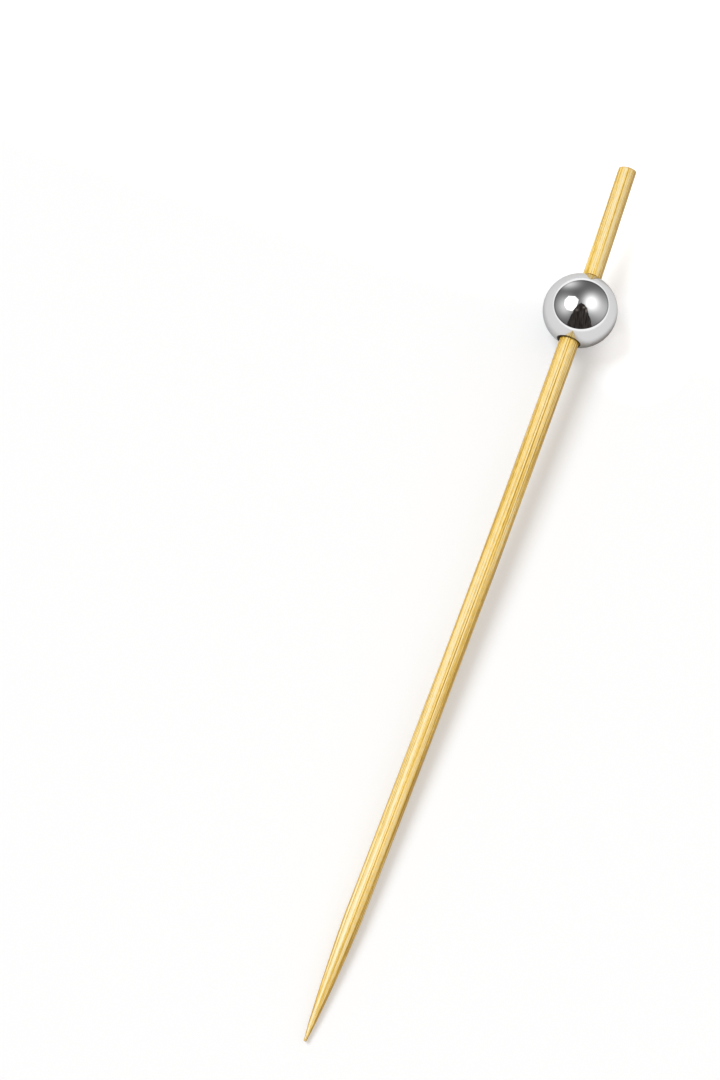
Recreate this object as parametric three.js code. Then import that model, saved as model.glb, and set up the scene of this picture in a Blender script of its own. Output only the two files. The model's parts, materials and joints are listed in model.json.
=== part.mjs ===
// Beaded bamboo pick: a round cane sharpened at one end, with a plated ball glued on near the other.
// Millimetres, +Z up. The pick lies at rest on the ball and the point, along Y, the point towards -Y.

import * as THREE from 'three';

// Driving dimensions, in millimetres
const pickLength = 125;
const stickDiameter = 2.5;
const sawnEdgeBreak = 0.12;
const pointLength = 16;
const pointSwell = 0.12;
const bluntTipDiameter = 0.5;
const tipEdgeRadius = 0.08;

const beadDiameter = 10;
const beadToSawnEnd = 22;
const boreClearance = 0.18;
const lipRadius = 0.1;

const glueLength = 5.5;
const meniscusRise = 0.3;
const bondGap = 0.03;

// How finely the round forms are divided
const sidesRound = 64;
const ballSteps = 30;
const lipSteps = 5;
const tipEdgeSteps = 3;
const pointSteps = 18;
const shankSteps = 6;
const meniscusSteps = 5;

// Sizes that follow
const stickRadius = stickDiameter / 2;
const tipRadius = bluntTipDiameter / 2;
const beadRadius = beadDiameter / 2;
const boreRadius = stickRadius + boreClearance;
const beadStation = pickLength - beadToSawnEnd;

// Every lip of the bore is an arc round this ring, tangent to the ball outside and to the bore inside
const lipCentreRadius = boreRadius + lipRadius;
const lipCentreHeight = Math.sqrt((beadRadius - lipRadius) ** 2 - lipCentreRadius ** 2);
const lipTurn = Math.atan2(lipCentreHeight, lipCentreRadius);

const caneMaterial = new THREE.MeshStandardMaterial({ color: 0xe3c28a, roughness: 0.62, metalness: 0 });
const platingMaterial = new THREE.MeshStandardMaterial({ color: 0xd2d2d4, roughness: 0.06, metalness: 1 });
const glueMaterial = new THREE.MeshStandardMaterial({ color: 0xe9e2cd, roughness: 0.35, metalness: 0 });

// Points along an arc in the profile plane: x is the radius from the pick's axis, y the place along it
function arc(centreX, centreY, radius, fromAngle, toAngle, steps) {
  const points = [];
  for (let i = 0; i <= steps; i += 1) {
    const angle = fromAngle + ((toAngle - fromAngle) * i) / steps;
    points.push(new THREE.Vector2(centreX + radius * Math.cos(angle), centreY + radius * Math.sin(angle)));
  }
  return points;
}

// All pieces are turned on one axis with the same sides, so their clearances are even all round.
// The half-side phase puts a flat facet, not an edge, under the ball and the point.
function revolve(profile) {
  return new THREE.LatheGeometry(profile, sidesRound, Math.PI / sidesRound);
}

// Radius of the sharpened point: a cone that swells a little between the tip and the shoulder
function pointRadius(share) {
  return THREE.MathUtils.lerp(tipRadius, stickRadius, share) + 4 * pointSwell * share * (1 - share);
}

// The sharpened end, from the middle of the blunt tip to the shoulder
function pointProfile() {
  const profile = [
    new THREE.Vector2(0, 0),
    ...arc(tipRadius - tipEdgeRadius, tipEdgeRadius, tipEdgeRadius, -Math.PI / 2, 0, tipEdgeSteps),
  ];
  for (let i = 1; i <= pointSteps; i += 1) {
    const share = i / pointSteps;
    profile.push(new THREE.Vector2(pointRadius(share), THREE.MathUtils.lerp(tipEdgeRadius, pointLength, share)));
  }
  return profile;
}

function makeStick() {
  const profile = pointProfile();
  const shankEnd = pickLength - sawnEdgeBreak;
  for (let i = 1; i <= shankSteps; i += 1) {
    profile.push(new THREE.Vector2(stickRadius, THREE.MathUtils.lerp(pointLength, shankEnd, i / shankSteps)));
  }
  profile.push(new THREE.Vector2(stickRadius - sawnEdgeBreak, pickLength));
  profile.push(new THREE.Vector2(0, pickLength));
  return new THREE.Mesh(revolve(profile), caneMaterial);
}

// A closed loop: up the ball's outside, round the upper lip, down the bore and round the lower lip
function makeBead() {
  const profile = [
    ...arc(0, 0, beadRadius, -lipTurn, lipTurn, ballSteps),
    ...arc(lipCentreRadius, lipCentreHeight, lipRadius, lipTurn, Math.PI, lipSteps).slice(1),
    ...arc(lipCentreRadius, -lipCentreHeight, lipRadius, Math.PI, 2 * Math.PI - lipTurn, lipSteps),
  ];
  profile[profile.length - 1].copy(profile[0]);
  return new THREE.Mesh(revolve(profile), platingMaterial);
}

// A ring of set glue between cane and bore, from inside the bore up to the lip on the sawn end's side,
// where its surface is drawn up the cane in a hollow curve
function makeGlue() {
  const innerRadius = stickRadius + bondGap;
  const outerRadius = boreRadius - bondGap;
  const lowerEnd = lipCentreHeight - glueLength;
  const againstLip = arc(lipCentreRadius, lipCentreHeight, lipRadius + bondGap, Math.PI, 0.75 * Math.PI, lipSteps);
  const rim = againstLip[againstLip.length - 1];
  const meniscus = new THREE.QuadraticBezierCurve(
    rim,
    new THREE.Vector2(innerRadius, rim.y),
    new THREE.Vector2(innerRadius, rim.y + meniscusRise),
  );
  const profile = [
    new THREE.Vector2(innerRadius, lowerEnd),
    new THREE.Vector2(outerRadius, lowerEnd),
    ...againstLip,
    ...meniscus.getPoints(meniscusSteps).slice(1),
    new THREE.Vector2(innerRadius, lowerEnd),
  ];
  return new THREE.Mesh(revolve(profile), glueMaterial);
}

// Laid down, the pick tilts about the ball until some ring of the point is as low as the ball's underside.
// The swollen side of the point meets the table first, so the tip itself stays a hair above it.
function restingTilt() {
  const tilts = pointProfile().map((ring) => {
    const along = beadStation - ring.y;
    return Math.asin(beadRadius / Math.hypot(along, ring.x)) - Math.atan2(ring.x, along);
  });
  return Math.min(...tilts);
}

function makePick() {
  const stick = makeStick();
  stick.name = 'bamboo_stick';

  const bead = makeBead();
  bead.name = 'plated_bead';

  const glue = makeGlue();
  glue.name = 'glue_ring';

  const threaded = new THREE.Group();
  threaded.add(bead, glue);
  threaded.position.y = beadStation;

  const pick = new THREE.Group();
  pick.add(stick, threaded);
  pick.rotation.x = restingTilt();

  const extent = new THREE.Box3().setFromObject(pick, true);
  const middle = extent.getCenter(new THREE.Vector3());
  pick.position.set(-middle.x, -middle.y, -extent.min.z);
  return pick;
}

export default makePick();
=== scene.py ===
import json
import math
import bpy
import numpy as np
from mathutils import Matrix


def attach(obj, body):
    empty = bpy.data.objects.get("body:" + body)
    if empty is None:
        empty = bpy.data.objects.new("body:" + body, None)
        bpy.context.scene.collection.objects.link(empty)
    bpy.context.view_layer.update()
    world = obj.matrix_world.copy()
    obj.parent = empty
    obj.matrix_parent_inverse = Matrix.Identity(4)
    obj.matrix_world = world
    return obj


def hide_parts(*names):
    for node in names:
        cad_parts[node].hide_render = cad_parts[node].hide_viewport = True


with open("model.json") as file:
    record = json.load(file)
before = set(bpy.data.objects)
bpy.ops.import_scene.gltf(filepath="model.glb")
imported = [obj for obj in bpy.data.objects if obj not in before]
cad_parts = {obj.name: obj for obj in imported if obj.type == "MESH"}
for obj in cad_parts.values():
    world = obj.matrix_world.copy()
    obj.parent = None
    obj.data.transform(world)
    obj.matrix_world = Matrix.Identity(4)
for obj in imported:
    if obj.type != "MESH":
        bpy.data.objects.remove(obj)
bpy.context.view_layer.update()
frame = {"nodes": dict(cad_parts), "record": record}

# The pick lies along Y on the table, its point towards -Y. Everything is in metres.
# Places along the stick are counted from the ball's middle, towards the sawn end.


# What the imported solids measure

def nodePoints(name):
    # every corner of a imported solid, one row each
    mesh = frame["nodes"][name].data
    points = np.empty(len(mesh.vertices) * 3)
    mesh.vertices.foreach_get("co", points)
    return points.reshape(-1, 3)


def unit(vector):
    return np.asarray(vector, float) / np.linalg.norm(vector)


sawnEnd = frame["record"]["mounts"][0]
endMiddle = np.asarray(sawnEnd["pos_m"], float)
along = unit(sawnEnd["axis"])
side = np.array([1.0, 0.0, 0.0])
upward = unit(np.cross(side, along))


def stations(points, origin):
    # distance along the stick's axis and away from it
    offset = points - origin
    place = offset @ along
    return place, np.linalg.norm(offset - place[:, None] * along, axis=1)


beadPlaces, _ = stations(nodePoints("plated_bead"), endMiddle)
beadMiddle = endMiddle + along * (beadPlaces.max() + beadPlaces.min()) / 2
beadPlaces, beadReach = stations(nodePoints("plated_bead"), beadMiddle)
beadRadius = np.hypot(beadPlaces, beadReach).max()
boreRadius = beadReach.min()
stickPlaces, stickReach = stations(nodePoints("bamboo_stick"), beadMiddle)
tipPlace, endPlace = stickPlaces.min(), stickPlaces.max()
stickRadius = stickReach.max()
gluePlaces, _ = stations(nodePoints("glue_ring"), beadMiddle)
ballAcross, stickAcross = round(beadRadius * 2e3, 3), round(stickRadius * 2e3, 3)
print("measured the solids: ball", ballAcross, "mm, stick", stickAcross, "mm")


def placed(across, lift, place):
    # a point from its offsets to the right, upward and along the stick
    offset = across[..., None] * side + lift[..., None] * upward
    return beadMiddle + offset + place[..., None] * along


# Surfaces

def finishMesh(name, points, faces, materials, faceMaterial=None):
    mesh = bpy.data.meshes.new(name)
    mesh.from_pydata(points.tolist(), [], faces)
    for material in materials:
        mesh.materials.append(material)
    mesh.polygons.foreach_set("use_smooth", np.ones(len(mesh.polygons), bool))
    if faceMaterial is not None:
        mesh.polygons.foreach_set("material_index", faceMaterial)
    mesh.update()
    piece = bpy.data.objects.new(name, mesh)
    bpy.context.scene.collection.objects.link(piece)
    return piece


def quadsBetween(rows, around, closedRows):
    # four corners for each cell of a grid that wraps round, and along its rows too when they
    # close up
    row = np.arange(rows if closedRows else rows - 1)[:, None]
    column = np.arange(around)[None, :]
    nextRow = (row + 1) % rows
    nextColumn = (column + 1) % around
    start, nextStart = row * around, nextRow * around
    corners = (start + column, nextStart + column, nextStart + nextColumn, start + nextColumn)
    return np.stack(np.broadcast_arrays(*corners), axis=-1).reshape(-1, 4)


def wave(values, seed, lengths, heights):
    # a sum of sines with seeded phases, one for each length: a smooth wander that repeats on
    # every run
    phases = np.random.default_rng(seed).uniform(0, 2 * math.pi, len(lengths))
    terms = zip(lengths, heights, phases)
    return sum(h * np.sin(2 * math.pi * values / l + p) for l, h, p in terms)


# Materials

def plug(tree, socket, source):
    if isinstance(source, bpy.types.Node):
        source = source.outputs[0]
    if isinstance(source, bpy.types.NodeSocket):
        tree.links.new(source, socket)
    else:
        socket.default_value = source


def addNode(tree, kind, wires=None, **settings):
    made = tree.nodes.new("ShaderNode" + kind)
    for name, value in settings.items():
        setattr(made, name, value)
    for name, source in (wires or {}).items():
        plug(tree, made.inputs[name], source)
    return made


def calculate(tree, operation, *values):
    return addNode(tree, "Math", dict(enumerate(values)), operation=operation).outputs[0]


def bellOf(tree, distance):
    # e to the power of minus the distance squared: 1 in the middle, falling away softly
    square = calculate(tree, "MULTIPLY", distance, distance)
    return calculate(tree, "EXPONENT", calculate(tree, "MULTIPLY", square, -1.0))


def ramp(tree, value, stops):
    # a colour ramp from (place, colour) pairs
    made = addNode(tree, "ValToRGB", {"Fac": value})
    elements = made.color_ramp.elements
    while len(elements) < len(stops):
        elements.new(0.5)
    for element, (place, colour) in zip(elements, stops):
        element.position = place
        element.color = (*colour, 1.0)
    return made.outputs["Color"]


def blendColours(tree, share, first, second, how="MIX"):
    made = addNode(tree, "Mix", data_type="RGBA", blend_type=how)
    for name, source in ((0, share), (6, first), (7, second)):
        if isinstance(source, tuple):
            source = (*source, 1.0)
        plug(tree, made.inputs[name], source)
    return made.outputs[2]


def spread(tree, value, low, high, fromLow=0.0, fromHigh=1.0, how="LINEAR"):
    # goes from low to high as the value goes from fromLow to fromHigh
    wires = {"Value": value, "From Min": fromLow, "From Max": fromHigh}
    wires.update({"To Min": low, "To Max": high})
    return addNode(tree, "MapRange", wires, interpolation_type=how).outputs["Result"]


def clouding(tree, where, scale, detail):
    wires = {"Vector": where, "Scale": scale, "Detail": detail}
    return addNode(tree, "TexNoise", wires).outputs["Fac"]


def newMaterial(name):
    material = bpy.data.materials.new(name)
    material.use_nodes = True
    tree = material.node_tree
    return material, tree, tree.nodes["Principled BSDF"]


# Lengths here are in millimetres.
bamboo = dict(
    bark=(0.52, 0.28, 0.008),
    umber=(0.65, 0.38, 0.02),
    gold=(0.80, 0.50, 0.055),
    straw=(0.93, 0.615, 0.13),
    flax=(0.925, 0.67, 0.22),
    cream=(0.88, 0.70, 0.34),
    pale=(0.86, 0.72, 0.40),
    ivory=(0.86, 0.735, 0.46),
    pore=(0.46, 0.25, 0.07),
    endGrain=(0.70, 0.47, 0.20),
    roughness=0.31,
    sheen=(-0.06, 0.10),       # the strands change the roughness between these
    sawnRoughness=0.3,         # and the saw adds this
    shine=0.58,
    depth=0.7,                 # how fine the fibres are in depth, against across
    slant=0.004,               # the fibres run this far across for each millimetre along the stick
    tone=0.45,                 # 0 is golden brown, 1 is pale
    bandChange=14,             # half the length over which a band's tone changes
    zoneTone=0.2,              # how much the noises change the tone, broadest to finest
    strandTone=0.32,
    threadTone=1.0,
    hairTone=2.6,
    fleckTone=0.7,
    contrast=0.30,             # how much brighter a hair or fleck gets where its tone rises by one
    wander=0.07,               # how far the bands stray sideways
    freshCutAndHighlight=0.12,             # how much paler the point is: partly where the knife has cut away the skin, partly a painted highlight on the point
    freshFrom=-3,              # all of it up to here, counted from the point's shoulder
    freshTo=14,                # and none of it from here on
    wornTip=-0.35,             # how much darker the very end of the point is
    wornLength=0.7,
    gluedAndShadedTone=-0.28,           # how much darker the wood is by the ball: partly glue soaked in, partly painted shade where the cane goes into the ball
    gluedLength=1.6,
    poreShare=0.15,
    poreEdge=(0.60, 0.70),
    dotShare=0.7,              # the ends of the fibre bundles on the sawn face
    dotEdge=(0.14, 0.30),
    dotScatter=0.85,
    threadHeight=0.8,          # how high the threads stand, against the strands
    bumpStrength=0.5,
    bumpDepth=0.000016,        # in metres
)

# The wood's colours, as (tone, name)
shades = [
    (-0.3, "bark"), (0.0, "umber"), (0.15, "gold"), (0.42, "straw"),
    (0.62, "flax"), (0.84, "cream"), (1.0, "pale"), (1.3, "ivory"),
]

# The wood's noises, as (repeats in a millimetre across the stick, repeats in one along it, detail)
fibres = dict(
    zones=(1.2, 0.035, 2.0),
    strands=(3.4, 0.010, 1.5),
    threads=(7.2, 0.013, 1.0),
    hairs=(14.0, 0.03, 0.5),
    flecks=(7.0, 1.1, 1.0),
    pores=(11.0, 0.5, 1.0),
    bundles=(2.6, 0.0, 0.0),
)

# Long bands of tone, as (middle, half width, tone added above, tone added below, change). They are
# partly the wood's own streaks and partly painted light: the pale bands left of the middle and near
# 0.15 to 0.20 are painted highlights of the key and fill lamps, the darker line at the middle is the
# painted gap between those highlights, and the dark bands at both edges, more on the right, are
# painted shade on the stick's flanks. The pale bands at -0.80 and 0.80 lie on the underside and are
# painted light that lifts its shade. The first two are in diameters across the stick, from its middle
# to the right. Above the change is the sawn end and below it the point. The change is in millimetres
# from the ball towards the sawn end.
grainAndPaintedLightBands = [
    (-0.80, 0.20, 0.22, 0.22, -50),
    (-0.50, 0.09, -0.33, -0.42, -50),
    (-0.46, 0.08, 0.0, -0.75, -93),
    (-0.34, 0.07, -0.16, 0.03, -15),
    (-0.19, 0.12, 0.32, 0.42, -50),
    (-0.06, 0.08, 0.16, 0.24, -20),
    (0.02, 0.05, -0.20, -0.64, -30),
    (0.15, 0.05, 0.06, 0.13, -20),
    (0.20, 0.08, 0.30, 0.10, -6),
    (0.35, 0.075, 0.06, -0.52, -42),
    (0.34, 0.06, 0.20, 0.0, -6),
    (0.33, 0.09, 0.0, -0.65, -92),
    (0.46, 0.07, -0.60, -0.50, -50),
    (0.80, 0.20, 0.22, 0.22, -50),
]


def bambooMaterial():
    # Solid wood: long bands of tone, which carry painted highlights and shade as well as the wood's
    # streaks, and noises drawn out along the stick in the millimetres of its own section. So they show
    # as streaks on the side, as slanting ends of streaks on the point and as dots on the sawn end.
    material, tree, shader = newMaterial("split bamboo")
    grain = addNode(tree, "Attribute", attribute_name="grain").outputs["Vector"]
    layer = addNode(tree, "Attribute", attribute_name="layer").outputs["Fac"]
    sawn = addNode(tree, "Attribute", attribute_name="sawn").outputs["Fac"]
    parts = addNode(tree, "SeparateXYZ", {"Vector": grain}).outputs
    leaning = calculate(tree, "MULTIPLY_ADD", parts["Z"], bamboo["slant"], parts["X"])
    slanted = addNode(tree, "CombineXYZ", {"X": leaning, "Y": parts["Y"], "Z": parts["Z"]})

    def drawnOut(vector, name):
        # less fine in depth than across, as the fibres lie in flat bundles
        acrossScale, alongScale, _ = fibres[name]
        scales = (acrossScale, acrossScale * bamboo["depth"], alongScale)
        return addNode(tree, "Mapping", {"Vector": vector, "Scale": scales})

    def noise(vector, name):
        detail = fibres[name][2]
        wires = {"Vector": drawnOut(vector, name), "Scale": 1.0, "Detail": detail, "Roughness": 0.5}
        return addNode(tree, "TexNoise", wires).outputs["Fac"]

    def offCentre(value):
        return calculate(tree, "SUBTRACT", value, 0.5)

    zones = noise(grain, "zones")
    strands = noise(slanted, "strands")
    threads = noise(slanted, "threads")
    hairs = noise(slanted, "hairs")
    flecks = noise(slanted, "flecks")
    pores = noise(slanted, "pores")
    bundles = addNode(tree, "TexVoronoi", {"Vector": drawnOut(grain, "bundles"), "Scale": 1.0})
    bundles.inputs["Randomness"].default_value = bamboo["dotScatter"]

    # tone: each band adds its own, as much as the bell of the distance from its middle in half
    # widths. Besides the wood's streaks, the bands paint highlights and shade.
    layer = calculate(tree, "MULTIPLY_ADD", offCentre(zones), bamboo["wander"], layer)
    tone = bamboo["tone"]
    for middle, halfWidth, toneAbove, toneBelow, change in grainAndPaintedLightBands:
        below, above = change - bamboo["bandChange"], change + bamboo["bandChange"]
        strength = spread(tree, parts["Z"], toneBelow, toneAbove, below, above, "SMOOTHSTEP")
        distance = calculate(tree, "DIVIDE", calculate(tree, "SUBTRACT", layer, middle), halfWidth)
        tone = calculate(tree, "MULTIPLY_ADD", bellOf(tree, distance), strength, tone)
    for source, strength in ((zones, "zoneTone"), (strands, "strandTone"), (threads, "threadTone")):
        tone = calculate(tree, "MULTIPLY_ADD", offCentre(source), bamboo[strength], tone)

    # paler where the point is cut, partly as a painted highlight; darker at its very end; darker by
    # the ball, partly from glue and partly as painted shade
    shoulder = (tipPlace + stick["pointLength"]) * 1000
    freshFrom, freshTo = shoulder + bamboo["freshFrom"], shoulder + bamboo["freshTo"]
    whittledAndHighlit = spread(tree, parts["Z"], bamboo["freshCutAndHighlight"], 0.0, freshFrom, freshTo, "SMOOTHSTEP")
    tone = calculate(tree, "ADD", tone, whittledAndHighlit)
    tip = tipPlace * 1000
    wornTo = tip + bamboo["wornLength"]
    worn = spread(tree, parts["Z"], bamboo["wornTip"], 0.0, tip, wornTo, "SMOOTHSTEP")
    tone = calculate(tree, "ADD", tone, worn)
    mouth = beadPlaces.max() * 1000
    gluedTo = mouth + bamboo["gluedLength"]
    fromBall = calculate(tree, "ABSOLUTE", parts["Z"])
    soakedAndShaded = spread(tree, fromBall, bamboo["gluedAndShadedTone"], 0.0, mouth, gluedTo, "SMOOTHSTEP")
    tone = calculate(tree, "ADD", tone, soakedAndShaded)
    fine = calculate(tree, "MULTIPLY", offCentre(flecks), bamboo["fleckTone"])
    fine = calculate(tree, "MULTIPLY_ADD", offCentre(hairs), bamboo["hairTone"], fine)
    tone = calculate(tree, "ADD", tone, fine)

    # colour from the tone, with pores in it, and the end grain's on the sawn face
    lowest, highest = shades[0][0], shades[-1][0]
    stops = [((place - lowest) / (highest - lowest), bamboo[name]) for place, name in shades]
    colour = ramp(tree, spread(tree, tone, 0.0, 1.0, lowest, highest), stops)
    brightness = calculate(tree, "MULTIPLY_ADD", fine, bamboo["contrast"], 1.0)
    colour = blendColours(tree, 1.0, colour, brightness, "MULTIPLY")
    poreMask = spread(tree, pores, 0.0, 1.0, *bamboo["poreEdge"], "SMOOTHSTEP")
    poreShare = calculate(tree, "MULTIPLY", poreMask, bamboo["poreShare"])
    colour = blendColours(tree, poreShare, colour, bamboo["pore"])
    fromBundle = bundles.outputs["Distance"]
    dots = spread(tree, fromBundle, bamboo["dotShare"], 0.0, *bamboo["dotEdge"], "SMOOTHSTEP")
    endColour = blendColours(tree, dots, bamboo["endGrain"], bamboo["pore"])
    plug(tree, shader.inputs["Base Color"], blendColours(tree, sawn, colour, endColour))

    smoothest, roughest = (bamboo["roughness"] + change for change in bamboo["sheen"])
    roughness = spread(tree, strands, smoothest, roughest, 0.3, 0.7)
    roughness = calculate(tree, "MULTIPLY_ADD", sawn, bamboo["sawnRoughness"], roughness)
    plug(tree, shader.inputs["Roughness"], roughness)
    shader.inputs["Specular IOR Level"].default_value = bamboo["shine"]
    height = calculate(tree, "MULTIPLY_ADD", threads, bamboo["threadHeight"], strands)
    height = calculate(tree, "SUBTRACT", height, poreMask)
    strength = bamboo["bumpStrength"]
    bumpWires = {"Height": height, "Strength": strength, "Distance": bamboo["bumpDepth"]}
    plug(tree, shader.inputs["Normal"], addNode(tree, "Bump", bumpWires))
    return material


plating = dict(
    silver=(0.72, 0.72, 0.725),
    towardsEdge=(0.80, 0.80, 0.80),    # what is left of a reflection where the ball turns away
    roughness=0.025,
    wear=(-0.01, 0.02),        # the roughness changes between these in patches
    wearScale=900.0,
    swellScale=260.0,          # the plating's faint unevenness
    bumpStrength=0.05,
    bumpDepth=0.00002,
    # near black: the bare moulding, darkened further as painted shade deep in the bore
    bareInsideAndShade=(0.03, 0.027, 0.025),
    bareLighter=1.6,           # dust makes the bare wall up to this many times lighter
    bareRoughness=(0.45, 0.65),
    dustScale=3000.0,
)


def platingMaterial():
    material, tree, shader = newMaterial("silver plating")
    where = addNode(tree, "TexCoord").outputs["Object"]
    wear = clouding(tree, where, plating["wearScale"], 3.0)
    swell = clouding(tree, where, plating["swellScale"], 1.0)
    shader.inputs["Base Color"].default_value = (*plating["silver"], 1.0)
    shader.inputs["Specular Tint"].default_value = (*plating["towardsEdge"], 1.0)
    shader.inputs["Metallic"].default_value = 1.0
    smoothest, roughest = (plating["roughness"] + change for change in plating["wear"])
    roughness = spread(tree, wear, smoothest, roughest, 0.35, 0.7)
    plug(tree, shader.inputs["Roughness"], roughness)
    strength = plating["bumpStrength"]
    bumpWires = {"Height": swell, "Strength": strength, "Distance": plating["bumpDepth"]}
    plug(tree, shader.inputs["Normal"], addNode(tree, "Bump", bumpWires))
    return material


def boreMaterial():
    # the bore's wall, where the plating stops and the matt moulding shows, darkened to near black as
    # painted shade inside the bore
    material, tree, shader = newMaterial("bare bore wall")
    where = addNode(tree, "TexCoord").outputs["Object"]
    dust = clouding(tree, where, plating["dustScale"], 3.0)
    bareShadedWall = plating["bareInsideAndShade"]
    lighter = tuple(plating["bareLighter"] * c for c in bareShadedWall)
    plug(tree, shader.inputs["Base Color"], blendColours(tree, dust, bareShadedWall, lighter))
    roughness = spread(tree, dust, *plating["bareRoughness"])
    plug(tree, shader.inputs["Roughness"], roughness)
    return material


glue = dict(
    # both colours are the set glue's amber, darkened as painted shade for the gap where the cane goes
    # into the ball
    amberAndGapShade=(0.42, 0.17, 0.03),
    paler=(0.58, 0.31, 0.08),
    roughness=(0.16, 0.30),
    cloudScale=2200.0,
    bubbleScale=5200.0,
    clearness=0.2,
    bending=1.5,               # how strongly it bends light, as resin does
    bumpStrength=0.3,
    bumpDepth=0.00003,
)


def glueMaterial():
    material, tree, shader = newMaterial("set glue")
    where = addNode(tree, "TexCoord").outputs["Object"]
    clouds = clouding(tree, where, glue["cloudScale"], 2.0)
    bubbles = addNode(tree, "TexVoronoi", {"Vector": where, "Scale": glue["bubbleScale"]})
    # the glue's amber, with the painted shade of the gap at the ball's mouth in it
    colour = blendColours(tree, clouds, glue["amberAndGapShade"], glue["paler"])
    plug(tree, shader.inputs["Base Color"], colour)
    plug(tree, shader.inputs["Roughness"], spread(tree, clouds, *glue["roughness"]))
    shader.inputs["Transmission Weight"].default_value = glue["clearness"]
    shader.inputs["IOR"].default_value = glue["bending"]
    height, strength = bubbles.outputs["Distance"], glue["bumpStrength"]
    bumpWires = {"Height": height, "Strength": strength, "Distance": glue["bumpDepth"]}
    plug(tree, shader.inputs["Normal"], addNode(tree, "Bump", bumpWires))
    return material


# Bamboo stick

stick = dict(
    around=160,
    shankRows=380,
    pointRows=200,
    capRows=14,
    edgeRows=6,
    handleLean=-0.0007,        # the sawn end stands this far to the side, as cane is never straight
    leanFrom=0.0022,           # the lean starts here, inside the ball
    belly=0.00041,             # and the long part bows this far to the other side
    bellyByBall=1.1,           # times this by the ball
    bellyByTip=0.86,           # and this by the tip
    pointLength=0.016,
    stoutBelowBall=0.045,      # thicker by this share just below the ball
    stoutAt=0.10,              # at this share of the way from the ball to the tip
    slimAtShoulder=-0.055,     # and thinner by this share before the point
    slimAt=0.86,
    swellSpan=0.22,            # both fade away over this share of the way
    slimHandle=-0.045,         # thinner by this share at the sawn end
    slimTip=-0.20,             # and over the last millimetre of the point
    slimTipSpan=0.014,
    outOfRound=0.010,
    threeSided=0.4,            # how much of that is three-sided, against oval
    ridge=0.0000045,
    sawRoughness=0.000018,
    knifeRoughness=0.000009,
    tipEdge=0.00008,
    tipFace=0.72,              # the tip's flat end has this share of the radius before its edge
    endEdge=0.00005,
    endEdgeDepth=0.7,          # the sawn edge is broken this deep, in its own lengths
    edgeTinge=1.0,             # how far the broken edge has the end grain's colour
    drawnRows=0.002,           # the rows over this length are drawn up to the leaning cut
    cutLean=0.00027,           # the sawn end is this much shorter at its upper left side
    cutTurn=-0.73,             # the angle of its longest side, from the right towards the top
    skinStop=0.0004,           # the skin's thickness is read no nearer to the sawn end than this
    grainTurn=0.082,           # the bands of tone, wood and painted light alike, are turned this much to the right about the stick
    streakDraw=0.85,           # how closely the streaks follow the point's cone
)

# Ridges along the fibres, as (how many round the stick, phase, weight)
ridges = [(13, 0.4, 1.0), (21, 1.9, 0.8), (34, 4.1, 0.6), (47, 2.2, 0.5)]


def cutPlace(across, lift):
    # The saw's plane leans. It comes down from the stick's end by half of cutLean times one minus
    # the reach towards the longest side, which is 1 there and -1 opposite.
    reach = (across * math.cos(stick["cutTurn"]) + lift * math.sin(stick["cutTurn"])) / stickRadius
    return endPlace - stick["cutLean"] * (1 - reach) / 2


def centreLine(place):
    # How far the stick's middle lies to the right of the straight axis. Towards the sawn end it
    # leans evenly. Towards the point there is a hump, share times one minus share, a little
    # fuller by the ball.
    up = np.clip((place - stick["leanFrom"]) / (endPlace - stick["leanFrom"]), 0, 1)
    down = np.clip(place / tipPlace, 0, 1)
    fullness = stick["bellyByBall"] + (stick["bellyByTip"] - stick["bellyByBall"]) * down
    return stick["handleLean"] * up + stick["belly"] * 4 * down * (1 - down) * fullness


def solidReachAt(place):
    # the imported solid's own radius, ring by ring
    order = np.argsort(stickPlaces)
    return np.interp(place, stickPlaces[order], np.maximum.accumulate(stickReach[order]))


def stickReachAt(place):
    # The solid's radius times a slow natural change of thickness: one, and a bell for each of the
    # stout place below the ball, the slim one by the shoulder and the slim tip, and an even
    # thinning up the handle.
    down = np.clip(place / tipPlace, 0, 1)
    handle = np.clip(place / endPlace, 0, 1)
    swell = stick["stoutBelowBall"] * np.exp(-((down - stick["stoutAt"]) / stick["swellSpan"]) ** 2)
    thin = stick["slimAtShoulder"] * np.exp(-((down - stick["slimAt"]) / stick["swellSpan"]) ** 2)
    thin = thin + stick["slimTip"] * np.exp(-((down - 1) / stick["slimTipSpan"]) ** 2)
    return solidReachAt(place) * (1 + swell + thin + stick["slimHandle"] * handle)


def stickSkin(angle, place):
    # Radius at an angle and a place: the ring's own, a little oval and three-sided, both slowly
    # turning, and cosines of many times the angle for the ridges. They grow fainter as the point
    # gets thinner.
    radius = stickReachAt(place)
    drift = wave(place, 3, (0.061, 0.023), (0.6, 0.25))
    oval = np.cos(2 * (angle + drift)) + stick["threeSided"] * np.cos(3 * angle + drift)
    fibrous = sum(
        np.cos(count * angle + phase + 0.5 * drift) * weight
        for count, phase, weight in ridges
    )
    fullness = radius / stickRadius
    uneven = radius * (1 + stick["outOfRound"] * oval * fullness)
    return uneven + stick["ridge"] * fibrous * fullness


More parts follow.
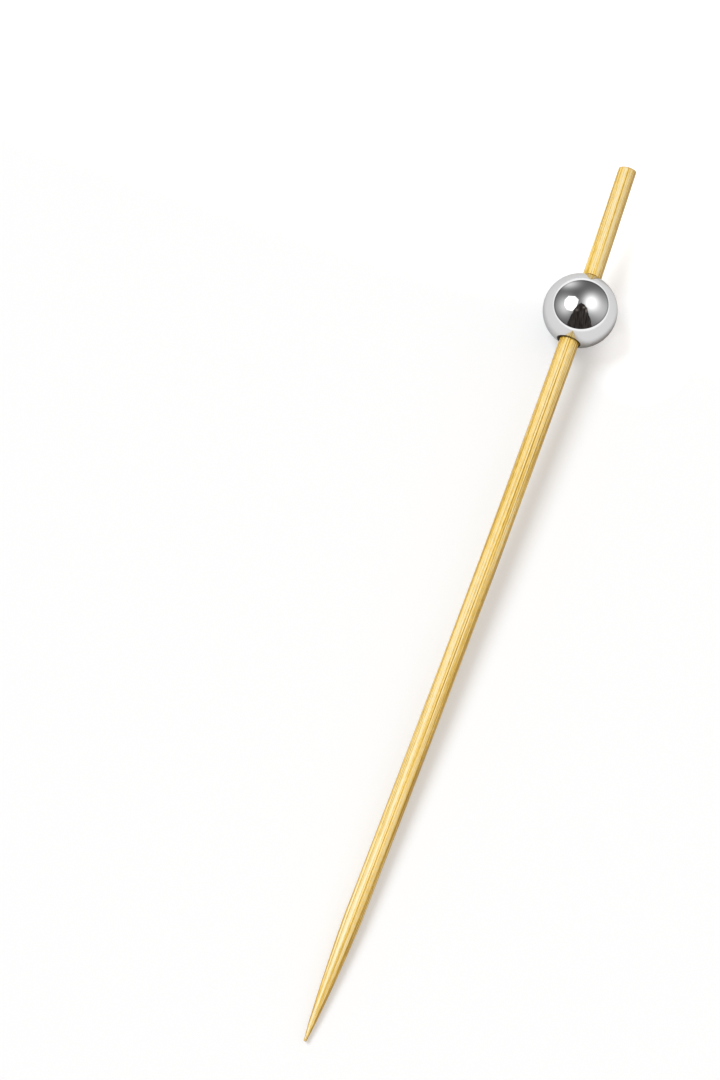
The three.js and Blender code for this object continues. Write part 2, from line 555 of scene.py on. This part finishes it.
def makeStick():
    around = stick["around"]
    angle = np.linspace(0, 2 * math.pi, around, endpoint=False)
    shoulder = tipPlace + stick["pointLength"]
    capShare = np.linspace(0, 1, stick["capRows"], endpoint=False)[1:]
    edgeStart = endPlace - stick["endEdge"]
    pointPlaces = np.linspace(tipPlace, shoulder, stick["pointRows"], endpoint=False)
    shankPlaces = np.linspace(shoulder, edgeStart, stick["shankRows"], endpoint=False)
    edgePlaces = np.linspace(edgeStart, endPlace, stick["edgeRows"])
    sidePlaces = np.concatenate([pointPlaces, shankPlaces, edgePlaces])

    # side: radius from the skin at each angle and place, less the square of the share of the
    # broken edge, and a quarter of an ellipse at the tip
    a, s = np.meshgrid(angle, sidePlaces)
    cut = cutPlace(stickRadius * np.cos(a), stickRadius * np.sin(a))
    drawnUp = np.clip((s - endPlace) / stick["drawnRows"] + 1, 0, 1)
    s = s - (endPlace - cut) * drawnUp
    r = stickSkin(a, np.clip(s, tipPlace + stick["tipEdge"], endPlace - stick["skinStop"]))
    edge = np.clip((cut - s) / stick["endEdge"], 0, 1)
    r = r - stick["endEdgeDepth"] * stick["endEdge"] * (1 - edge) ** 2
    tipEdge = np.clip((s - tipPlace) / stick["tipEdge"], 0, 1)
    r = r * (stick["tipFace"] + (1 - stick["tipFace"]) * np.sqrt(1 - (1 - tipEdge) ** 2))

    # caps: the end ring drawn in towards the middle, marked by the saw or the knife
    def cap(ringRadius, shares, seed):
        fraction = shares[:, None]
        radius = ringRadius[None, :] * fraction
        x, y = radius * np.cos(angle), radius * np.sin(angle)
        marks = wave(x + 0.37 * y, seed, (0.00021, 0.00034, 0.00055), (0.5, 0.7, 0.6))
        marks = marks + wave(y - 0.21 * x, seed + 1, (0.00017, 0.0004, 0.00083), (0.4, 0.6, 0.7))
        return radius, np.abs(marks) * (1 - fraction ** 6)

    tipR, tipMarks = cap(r[0], capShare, 17)
    endR, endMarks = cap(r[-1], capShare[::-1], 11)
    endS = cutPlace(endR * np.cos(angle), endR * np.sin(angle)) - stick["sawRoughness"] * endMarks
    radii = np.concatenate([tipR, r, endR])
    places = np.concatenate([tipPlace + stick["knifeRoughness"] * tipMarks, s, endS])
    across = radii * np.cos(angle)
    lift = radii * np.sin(angle)
    grid = placed(across + centreLine(places), lift, places)
    rows = len(radii)
    points = np.concatenate([
        grid.reshape(-1, 3),
        grid[0].mean(axis=0, keepdims=True),
        grid[-1].mean(axis=0, keepdims=True),
    ])
    quads = quadsBetween(rows, around, False)
    ring = np.arange(around)
    nextOnRing = (ring + 1) % around
    tipPole, endPole = rows * around, rows * around + 1
    tipFan = np.stack([ring, nextOnRing, np.full(around, tipPole)], axis=1)
    last = (rows - 1) * around
    endFan = np.stack([last + nextOnRing, last + ring, np.full(around, endPole)], axis=1)
    faces = quads.tolist() + tipFan.tolist() + endFan.tolist()
    piece = finishMesh("cane", points, faces, [bambooMaterial()])

    # The wood's own coordinates in millimetres. Streaks draw together on the point: the offsets
    # from the axis are divided by the solid's share of its full radius, raised to the power
    # streakDraw.
    share = solidReachAt(np.maximum(places, tipPlace + stick["tipEdge"])) / stickRadius
    widened = share ** -stick["streakDraw"]
    grain = np.stack([across * widened, lift * widened, places], axis=-1).reshape(-1, 3) * 1000
    grain = np.concatenate([grain, [[0, 0, tipPlace * 1000]], [[0, 0, endPlace * 1000]]])
    capStart = (rows - len(capShare)) * around
    sawnShare = np.zeros(len(grain))
    sawnShare[capStart - stick["edgeRows"] * around:capStart] = stick["edgeTinge"]
    sawnShare[capStart:rows * around] = 1
    sawnShare[-1] = 1

    # Where a place lies across the stick, from its left side at -0.5 to its right side at 0.5. On
    # its underside the count goes on, from either side to the middle of the underside at -1 or 1.
    ringMean = r.mean(axis=1)
    tipGirth = np.full(len(tipR), ringMean[0])
    endGirth = np.full(len(endR), ringMean[-1])
    girth = np.concatenate([tipGirth, ringMean, endGirth])
    turned = stick["grainTurn"]
    layer = (across - turned * lift) / (2 * girth[:, None])
    below = lift + turned * across < 0
    layer = np.where(below, np.sign(layer) * (1 - np.abs(layer)), layer)
    layer = np.concatenate([layer.ravel(), [0, 0]])
    mesh = piece.data
    mesh.attributes.new("layer", "FLOAT", "POINT").data.foreach_set("value", layer)
    mesh.attributes.new("grain", "FLOAT_VECTOR", "POINT").data.foreach_set("vector", grain.ravel())
    mesh.attributes.new("sawn", "FLOAT", "POINT").data.foreach_set("value", sawnShare)
    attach(piece, "root")
    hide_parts("bamboo_stick")
    print("cane made:", len(mesh.polygons), "faces")
    return piece


# Plated ball

bead = dict(
    around=256,
    ballRows=220,
    lipRows=14,
    boreRows=24,
    lipRadius=0.0001,
    bareLip=0.00026,           # the plating stops this far outside the bore's wall
)


def beadProfile():
    # A closed loop of (distance from the axis, place): an arc over the ball, a small round lip
    # tangent to ball and bore, a straight line down the bore, and the other lip.
    lip = bead["lipRadius"]
    centreReach = boreRadius + lip
    centrePlace = math.sqrt((beadRadius - lip) ** 2 - centreReach ** 2)
    turn = math.atan2(centrePlace, centreReach)
    ball = np.linspace(-turn, turn, bead["ballRows"])
    upper = np.linspace(turn, math.pi, bead["lipRows"])[1:]
    lower = np.linspace(math.pi, 2 * math.pi - turn, bead["lipRows"])[:-1]
    bore = np.linspace(centrePlace, -centrePlace, bead["boreRows"])[1:-1]
    reach = np.concatenate([
        beadRadius * np.cos(ball),
        centreReach + lip * np.cos(upper),
        np.full(len(bore), boreRadius),
        centreReach + lip * np.cos(lower),
    ])
    place = np.concatenate([
        beadRadius * np.sin(ball),
        centrePlace + lip * np.sin(upper),
        bore,
        -centrePlace + lip * np.sin(lower),
    ])
    bare = reach < boreRadius + bead["bareLip"]
    return reach, place, bare


def makeBead():
    # the profile carried round the axis, bare of plating where both its rows are
    reach, place, bare = beadProfile()
    angle = np.linspace(0, 2 * math.pi, bead["around"], endpoint=False)
    reach, place = reach[:, None], place[:, None] + 0 * angle
    grid = placed(reach * np.cos(angle), reach * np.sin(angle), place)
    quads = quadsBetween(len(reach), bead["around"], True)
    wall = np.repeat((bare & np.roll(bare, -1)).astype(np.int32), bead["around"])
    materials = [platingMaterial(), boreMaterial()]
    piece = finishMesh("ball", grid.reshape(-1, 3), quads.tolist(), materials, wall)
    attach(piece, "root")
    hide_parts("plated_bead")
    print("ball made:", len(piece.data.polygons), "faces")
    return piece


# Ring of glue

glueRing = dict(
    around=128,
    rows=18,
    slopeRows=5,
    film=0.000008,             # left free between the glue and its neighbours
    waver=0.00012,             # how far its ends waver
    lowInset=1.2,              # how far they stay inside the solid's ends, in wavers
    topInset=0.6,
    drawnUp=0.0003,            # it stands this much higher on the cane than on the bore
    hollowPlace=0.6,           # powers of the share that give the slope between them its hollow
    hollowReach=1.8,
)


def makeGlue():
    # A thin sleeve between the cane's skin and the bore. Its inner wall follows the cane and its
    # outer wall the bore, both ends waver round the stick as glue does, and a hollow slope joins
    # them at the top.
    angle = np.linspace(0, 2 * math.pi, glueRing["around"], endpoint=False)
    lowest, highest = gluePlaces.min(), gluePlaces.max()
    mouth = highest - glueRing["drawnUp"]
    turn = 2 * math.pi
    lowWave = wave(angle, 5, (turn, turn / 2, turn / 3), (0.5, 0.4, 0.2))
    topWave = wave(angle, 6, (turn, turn / 2), (0.3, 0.3))
    low = lowest + glueRing["waver"] * (glueRing["lowInset"] + lowWave)
    top = highest - glueRing["waver"] * (glueRing["topInset"] + topWave)
    share = np.linspace(0, 1, glueRing["rows"])[:, None]
    inPlace = low + (top - low) * share
    inReach = stickSkin(angle + 0 * inPlace, inPlace) + glueRing["film"]
    outPlace = mouth + (low - mouth) * share
    outReach = np.full_like(outPlace, boreRadius - glueRing["film"])
    slope = np.linspace(0, 1, glueRing["slopeRows"] + 2)[1:-1][:, None]
    slopePlace = top + (mouth - top) * slope ** glueRing["hollowPlace"]
    slopeReach = inReach[-1] + (outReach[0] - inReach[-1]) * slope ** glueRing["hollowReach"]
    reach = np.concatenate([inReach, slopeReach, outReach])
    place = np.concatenate([inPlace, slopePlace, outPlace])

    # the inner wall goes along with the cane's lean, the outer wall stays with the bore
    whole = np.ones(glueRing["rows"])
    withCane = np.concatenate([whole, 1 - slope[:, 0], 0 * whole])
    across = reach * np.cos(angle) + centreLine(place) * withCane[:, None]
    grid = placed(across, reach * np.sin(angle), place)
    quads = quadsBetween(len(reach), glueRing["around"], True)[:, ::-1]    # its loop runs backwards
    piece = finishMesh("glue", grid.reshape(-1, 3), quads.tolist(), [glueMaterial()])
    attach(piece, "root")
    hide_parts("glue_ring")
    print("glue made:", len(piece.data.polygons), "faces")
    return piece


# Camera

camera = dict(lens=85, azimuth=20.53, elevation=69.0, aim=(-0.01669, 0.00122, 0.0), distance=0.3340)


def directionFrom(azimuth, elevation):
    # from the aimed point towards the camera
    a, e = math.radians(azimuth), math.radians(elevation)
    return np.array([math.sin(a) * math.cos(e), -math.cos(a) * math.cos(e), math.sin(e)])


def lookAlong(thing, place, away):
    # turns a lamp or camera at a place so that it looks against the direction away
    back = unit(away)
    right = unit(np.cross((0.0, 0.0, 1.0), back))
    top = np.cross(back, right)
    rows = np.column_stack([right, top, back, place])
    thing.matrix_world = Matrix([list(row) for row in rows] + [[0, 0, 0, 1]])


def towardsCamera():
    return directionFrom(camera["azimuth"], camera["elevation"])


def cameraPlace():
    return np.array(camera["aim"]) + camera["distance"] * towardsCamera()


def makeCamera():
    data = bpy.data.cameras.new("camera")
    data.lens = camera["lens"]
    thing = bpy.data.objects.new("camera", data)
    bpy.context.scene.collection.objects.link(thing)
    lookAlong(thing, cameraPlace(), towardsCamera())
    bpy.context.scene.camera = thing


# Studio: directions are given as seen by the photographer, (to the right, away, up)

studio = dict(
    keyFrom=(-0.47, 0.26, 0.845),
    keyLevel=1.95,
    keySpread=30,
    keyColour=(1.0, 1.066, 1.135),
    fillFrom=(0.51, 0.06, 0.858),
    fillLevel=0.72,
    fillSpread=90,
    fillColour=(1.0, 1.0, 1.0),
    plainLevel=0.34,
    plainColour=(1.0, 0.88, 0.765),
    tableColour=(0.65, 0.65, 0.65),
    tableHalf=3.0,
    tableRoughness=0.9,
    tableShine=0.1,
    tableGlow=0.31,            # what the eye sees on top of the lit table, near the point
    backGlow=0.42,             # and how much more of it behind the ball, where it is lit most
    backGlowEdge=(0.038, 0.062),
    ballGlow=0.26,             # what the ball throws back into its own shadow, beside it
    ballGlowPlace=(0.0079, -0.0044),
    ballGlowEdge=(0.0025, 0.0078),
    nearMirrorGlow=0.25,       # what mirrors see on top of the lit table by the pick
    nearMirrorEdge=(0.005, 0.013),
    farMirrorGlow=0.26,        # and how much more of it far away
    farMirrorEdge=(0.05, 0.25),
)


def offsetOnTable(parts):
    # from (to the right, away), as the photographer sees them, to the frame's own directions
    a = math.radians(camera["azimuth"])
    right = np.array([math.cos(a), math.sin(a), 0.0])
    away = np.array([-math.sin(a), math.cos(a), 0.0])
    return parts[0] * right + parts[1] * away


def studioDirection(parts):
    return unit(offsetOnTable(parts) + parts[2] * np.array([0.0, 0.0, 1.0]))


def makeLamp(name):
    # a far lamp, one of the two that the studio's values describe
    data = bpy.data.lights.new(name, "SUN")
    data.energy = studio[name + "Level"]
    data.angle = math.radians(studio[name + "Spread"])
    data.color = studio[name + "Colour"]
    lamp = bpy.data.objects.new(name, data)
    bpy.context.scene.collection.objects.link(lamp)
    toLamp = studioDirection(studio[name + "From"])
    lookAlong(lamp, toLamp * 0.5, toLamp)
    lamp.visible_glossy = False        # the world below draws what the ball mirrors
    return lamp


def makeTable():
    # a white sheet that glows a little to the eye and to mirrors, and keeps the pick's shadow
    half = studio["tableHalf"]
    corners = np.array([[-half, -half, 0], [half, -half, 0], [half, half, 0], [-half, half, 0]])
    material, tree, shader = newMaterial("white table")
    shader.inputs["Base Color"].default_value = (*studio["tableColour"], 1.0)
    shader.inputs["Roughness"].default_value = studio["tableRoughness"]
    shader.inputs["Specular IOR Level"].default_value = studio["tableShine"]
    path = addNode(tree, "LightPath").outputs
    where = addNode(tree, "TexCoord").outputs["Object"]
    depth = addNode(tree, "SeparateXYZ", {"Vector": where}).outputs["Y"]
    foot = np.array([beadMiddle[0], beadMiddle[1], 0.0])
    beside = foot + offsetOnTable(studio["ballGlowPlace"])

    def distanceFrom(place):
        wires = {0: where, 1: tuple(place)}
        return addNode(tree, "VectorMath", wires, operation="DISTANCE").outputs["Value"]

    fromFoot, fromBeside = distanceFrom(foot), distanceFrom(beside)
    toEye = spread(tree, depth, 0.0, studio["backGlow"], *studio["backGlowEdge"], "SMOOTHSTEP")
    toEye = calculate(tree, "ADD", toEye, studio["tableGlow"])
    ballEdge, nearEdge, farEdge = (studio[n + "Edge"] for n in ("ballGlow", "nearMirror", "farMirror"))
    thrown = spread(tree, fromBeside, studio["ballGlow"], 0.0, *ballEdge, "SMOOTHSTEP")
    toEye = calculate(tree, "ADD", toEye, thrown)
    near = spread(tree, fromFoot, 0.0, studio["nearMirrorGlow"], *nearEdge, "SMOOTHSTEP")
    far = spread(tree, fromFoot, 0.0, studio["farMirrorGlow"], *farEdge, "SMOOTHSTEP")
    toMirror = calculate(tree, "ADD", near, far)
    glow = calculate(tree, "MULTIPLY", path["Is Glossy Ray"], toMirror)
    glow = calculate(tree, "MULTIPLY_ADD", path["Is Camera Ray"], toEye, glow)
    shader.inputs["Emission Color"].default_value = (1.0, 1.0, 1.0, 1.0)
    plug(tree, shader.inputs["Emission Strength"], glow)
    table = finishMesh("table", corners, [[0, 1, 2, 3]], [material])


# The room as the ball shows it. Places are on the ball's face as first seen, in radii to the
# right and up.
room = dict(
    dim=0.14,
    sweepEdge=(0.03, 0.16, 0.725, 0.65),    # the ball shows the room in this: middle, half sizes
    sweepLevel=1.3,
    sweepStart=(0.99, 1.01),   # the white sweep comes in between these shares of the oval
    rimLight=0.62,             # what is left of the room's light just inside it
    rimStart=(0.93, 0.99),
    keyBoxLevel=4.0,
    keyBoxEdge=(-0.06, 0.012),
    standLevel=(0.036, 0.031, 0.028),
    standWarmth=(1.0, 0.86, 0.72),
    standMiddle=0.012,
    standSlant=0.10,
    standEdge=(-0.015, 0.02),
    standTop=0.17,             # the stand's head is flattened below this height
    standTopSlope=0.6,
    ragScale=5.0,              # its outline is a little ragged
    ragWidth=0.04,
    foldsAcross=22.0,
    foldsUp=4.0,
    foldLight=(0.3, 2.2),      # how dark and how light its folds get, against its level
)

# Soft patches of light in the room, as (right, up, half width, half height, level)
patches = [
    (-0.39, 0.12, 0.21, 0.24, 0.85),
    (-0.32, 0.72, 0.26, 0.12, 0.85),
    (0.28, 0.215, 0.19, 0.205, 1.65),
    (0.54, 0.04, 0.33, 0.34, 0.56),
]

# The left lamp's corners, clockwise from its upper left one
lampCorners = [
    (-0.31, 0.395), (-0.13, 0.385), (-0.035, 0.29), (-0.09, 0.09),
    (-0.21, -0.015), (-0.35, 0.02), (-0.42, 0.14), (-0.41, 0.29),
]

# The dark stand by the camera, as (height, half width): a rounded head on broad shoulders
stand = [
    (-0.50, 0.36), (-0.32, 0.315), (-0.16, 0.255), (0.0, 0.19),
    (0.08, 0.16), (0.155, 0.095), (0.21, 0.0),
]

# What catches the light on the stand, as (right, up, half width, half height, level)
standSpots = [
    (-0.085, 0.02, 0.035, 0.030, 0.17),
    (0.100, 0.085, 0.028, 0.022, 0.27),
    (0.160, 0.00, 0.018, 0.045, 0.28),
]


def makeWorld():
    # Plain white to the eye, plain pale light on everything, and for mirrors the room that the
    # ball shows: a dim studio with two lamps, soft patches of light and a dark stand, inside the
    # edge of a white sweep.
    world = bpy.data.worlds.new("studio")
    bpy.context.scene.world = world
    world.use_nodes = True
    tree = world.node_tree
    for old in list(tree.nodes):
        tree.nodes.remove(old)

    # A mirror ball shows a direction where its skin faces halfway between that direction and the
    # eye.
    toEye = unit(cameraPlace() - beadMiddle)
    sideways = studioDirection((1, 0, 0))
    faceRight = unit(sideways - toEye * (sideways @ toEye))
    faceUp = np.cross(toEye, faceRight)
    where = addNode(tree, "TexCoord").outputs["Generated"]
    halfway = addNode(tree, "VectorMath", {0: where, 1: tuple(toEye)}, operation="ADD")
    halfway = addNode(tree, "VectorMath", {0: halfway}, operation="NORMALIZE")

    def partAlong(direction):
        wires = {0: halfway, 1: tuple(direction)}
        return addNode(tree, "VectorMath", wires, operation="DOT_PRODUCT").outputs["Value"]

    x, y = partAlong(faceRight), partAlong(faceUp)

    def ovalDistance(middleX, middleY, halfWidth, halfHeight):
        # 1 on the oval's line, less inside
        dx = calculate(tree, "DIVIDE", calculate(tree, "SUBTRACT", x, middleX), halfWidth)
        dy = calculate(tree, "DIVIDE", calculate(tree, "SUBTRACT", y, middleY), halfHeight)
        squares = calculate(tree, "MULTIPLY_ADD", dx, dx, calculate(tree, "MULTIPLY", dy, dy))
        return calculate(tree, "SQRT", squares)

    def addPatches(light, places):
        # each patch adds its level times the bell of its oval distance
        for middleX, middleY, halfWidth, halfHeight, level in places:
            distance = ovalDistance(middleX, middleY, halfWidth, halfHeight)
            light = calculate(tree, "MULTIPLY_ADD", bellOf(tree, distance), level, light)
        return light

    light = addPatches(room["dim"], patches)

    # the left lamp: a place lies outside it by the greatest of its distances outside the lines of
    # its sides
    outside = -1.0
    for (x0, y0), (x1, y1) in zip(lampCorners, lampCorners[1:] + lampCorners[:1]):
        length = math.hypot(x1 - x0, y1 - y0)
        outX, outY = (y0 - y1) / length, (x1 - x0) / length
        fromLine = calculate(tree, "MULTIPLY_ADD", x, outX, -(x0 * outX + y0 * outY))
        fromLine = calculate(tree, "MULTIPLY_ADD", y, outY, fromLine)
        outside = calculate(tree, "MAXIMUM", outside, fromLine)
    inLamp = spread(tree, outside, 1.0, 0.0, *room["keyBoxEdge"], "SMOOTHSTEP")
    light = calculate(tree, "MULTIPLY_ADD", inLamp, room["keyBoxLevel"], light)

    # the stand: inside where the distance from its middle line is less than its half width
    ragged = clouding(tree, where, room["ragScale"], 1.0)
    ragged = calculate(tree, "MULTIPLY_ADD", ragged, room["ragWidth"], -room["ragWidth"] / 2)
    lowest = stand[0][0]
    widths = [(height - lowest, (width, width, width)) for height, width in stand]
    halfWidth = ramp(tree, calculate(tree, "SUBTRACT", y, lowest), widths)
    halfWidth = calculate(tree, "ADD", halfWidth, ragged)
    standMiddle = calculate(tree, "MULTIPLY_ADD", y, room["standSlant"], room["standMiddle"])
    fromMiddle = calculate(tree, "ABSOLUTE", calculate(tree, "SUBTRACT", x, standMiddle))
    flank = calculate(tree, "SUBTRACT", halfWidth, fromMiddle)
    belowTop = calculate(tree, "MULTIPLY_ADD", y, -room["standTopSlope"], room["standTop"])
    depth = calculate(tree, "MINIMUM", flank, belowTop)
    inStand = spread(tree, depth, 0.0, 1.0, *room["standEdge"], "SMOOTHSTEP")
    foldX = calculate(tree, "MULTIPLY", x, room["foldsAcross"])
    foldY = calculate(tree, "MULTIPLY", y, room["foldsUp"])
    foldPlace = addNode(tree, "CombineXYZ", {"X": foldX, "Y": foldY})
    folds = clouding(tree, foldPlace, 1.0, 2.0)
    standLight = spread(tree, folds, *room["foldLight"], 0.3, 0.75)
    standColour = blendColours(tree, 1.0, room["standLevel"], standLight, "MULTIPLY")
    spots = blendColours(tree, 1.0, room["standWarmth"], addPatches(0.0, standSpots), "MULTIPLY")
    standColour = blendColours(tree, 1.0, standColour, spots, "ADD")

    # the room darkens towards its rim, and outside it is the white sweep
    edge = ovalDistance(*room["sweepEdge"])
    darkRim = spread(tree, edge, 1.0, room["rimLight"], *room["rimStart"], "SMOOTHSTEP")
    light = calculate(tree, "MULTIPLY", light, darkRim)
    roomColour = blendColours(tree, inStand, light, standColour)
    inRoom = spread(tree, edge, 1.0, 0.0, *room["sweepStart"], "SMOOTHSTEP")
    sweep = (room["sweepLevel"],) * 3
    roomColour = blendColours(tree, inRoom, sweep, roomColour)

    path = addNode(tree, "LightPath").outputs
    plain = tuple(studio["plainLevel"] * c for c in studio["plainColour"])
    colour = blendColours(tree, path["Is Glossy Ray"], plain, roomColour)
    seen = calculate(tree, "MAXIMUM", path["Is Camera Ray"], path["Is Transmission Ray"])
    colour = blendColours(tree, seen, colour, (1.0, 1.0, 1.0))
    background = addNode(tree, "Background", {"Color": colour})
    output = tree.nodes.new("ShaderNodeOutputWorld")
    tree.links.new(background.outputs[0], output.inputs["Surface"])


makeStick()
makeBead()
makeGlue()
makeCamera()
makeTable()
makeLamp("key")
makeLamp("fill")
makeWorld()
bpy.context.scene.view_settings.view_transform = "Standard"
print("studio made")
